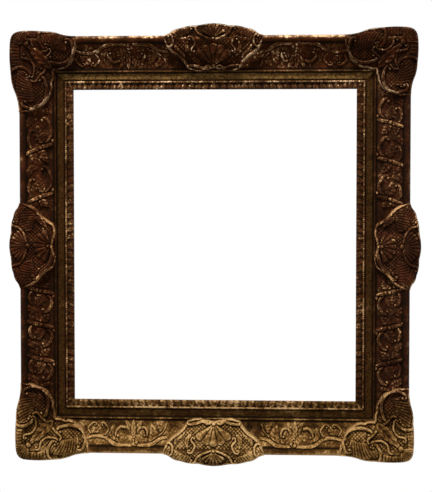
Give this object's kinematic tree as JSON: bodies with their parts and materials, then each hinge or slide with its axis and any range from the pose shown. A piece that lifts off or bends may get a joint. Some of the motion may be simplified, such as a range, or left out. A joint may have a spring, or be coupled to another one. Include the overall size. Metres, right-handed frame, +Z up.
{
  "type": "ornate gilded frame",
  "caption": "Rectangular wooden frame in a swept style: carved and gilded front with corner and centre blocks, open sight, rebate with turn buttons behind, and swinging hanger rings.",
  "frame": {"origin": "middle of the back face of the top rail", "axes": "+Z up the hung frame, +Y out of the back towards the wall, -Y out of the carved front, +X to the right as seen from the front"},
  "size_m": [0.7186, 0.0603, 0.772],
  "materials": {
    "gilded_wood": "worn gold leaf over red-brown ground, satin",
    "softwood": "bare, aged",
    "brass": "dull",
    "steel": "plain"
  },
  "bodies": {
    "frame": {"back_rail_bottom": "softwood", "back_rail_left": "softwood", "back_rail_right": "softwood", "back_rail_top": "softwood", "centre_block_bottom": "gilded_wood", "centre_block_left": "gilded_wood", "centre_block_right": "gilded_wood", "centre_block_top": "gilded_wood", "corner_block_bottom_left": "gilded_wood", "corner_block_bottom_right": "gilded_wood", "corner_block_top_left": "gilded_wood", "corner_block_top_right": "gilded_wood", "hanger_screws": "steel", "hanger_strap_left": "steel", "hanger_strap_right": "steel", "lap_pegs": "softwood", "moulding_bottom": "gilded_wood", "moulding_left": "gilded_wood", "moulding_right": "gilded_wood", "moulding_top": "gilded_wood", "scroll_panel_bottom_left": "gilded_wood", "scroll_panel_bottom_right": "gilded_wood", "scroll_panel_left_bottom": "gilded_wood", "scroll_panel_left_top": "gilded_wood", "scroll_panel_right_bottom": "gilded_wood", "scroll_panel_right_top": "gilded_wood", "scroll_panel_top_left": "gilded_wood", "scroll_panel_top_right": "gilded_wood", "sight_strip_bottom": "gilded_wood", "sight_strip_left": "gilded_wood", "sight_strip_right": "gilded_wood", "sight_strip_top": "gilded_wood", "turn_button_screws": "brass"},
    "hanger_ring_left": {"hanger_ring_left": "steel"},
    "hanger_ring_right": {"hanger_ring_right": "steel"},
    "turn_button_bottom_left": {"turn_button_bottom_left": "brass"},
    "turn_button_bottom_right": {"turn_button_bottom_right": "brass"},
    "turn_button_top_left": {"turn_button_top_left": "brass"},
    "turn_button_top_right": {"turn_button_top_right": "brass"}
  },
  "joints": [
    {"name": "turn_button_top_left_spin", "type": "hinge", "parent": "frame", "child": "turn_button_top_left", "pos_m": [-0.266, 0.0011, -0.11944], "axis": [0, 1, 0], "continuous": true},
    {"name": "turn_button_top_right_spin", "type": "hinge", "parent": "frame", "child": "turn_button_top_right", "pos_m": [0.266, 0.0011, -0.11944], "axis": [0, 1, 0], "continuous": true},
    {"name": "turn_button_bottom_left_spin", "type": "hinge", "parent": "frame", "child": "turn_button_bottom_left", "pos_m": [-0.266, 0.0011, -0.51256], "axis": [0, 1, 0], "continuous": true},
    {"name": "turn_button_bottom_right_spin", "type": "hinge", "parent": "frame", "child": "turn_button_bottom_right", "pos_m": [0.266, 0.0011, -0.51256], "axis": [0, 1, 0], "continuous": true},
    {"name": "hanger_ring_left_swing", "type": "hinge", "parent": "frame", "child": "hanger_ring_left", "pos_m": [-0.291, 0.0023, -0.1795], "axis": [1, 0, 0], "range_deg": [0, 174]},
    {"name": "hanger_ring_right_swing", "type": "hinge", "parent": "frame", "child": "hanger_ring_right", "pos_m": [0.291, 0.0023, -0.1795], "axis": [1, 0, 0], "range_deg": [0, 174]}
  ]
}
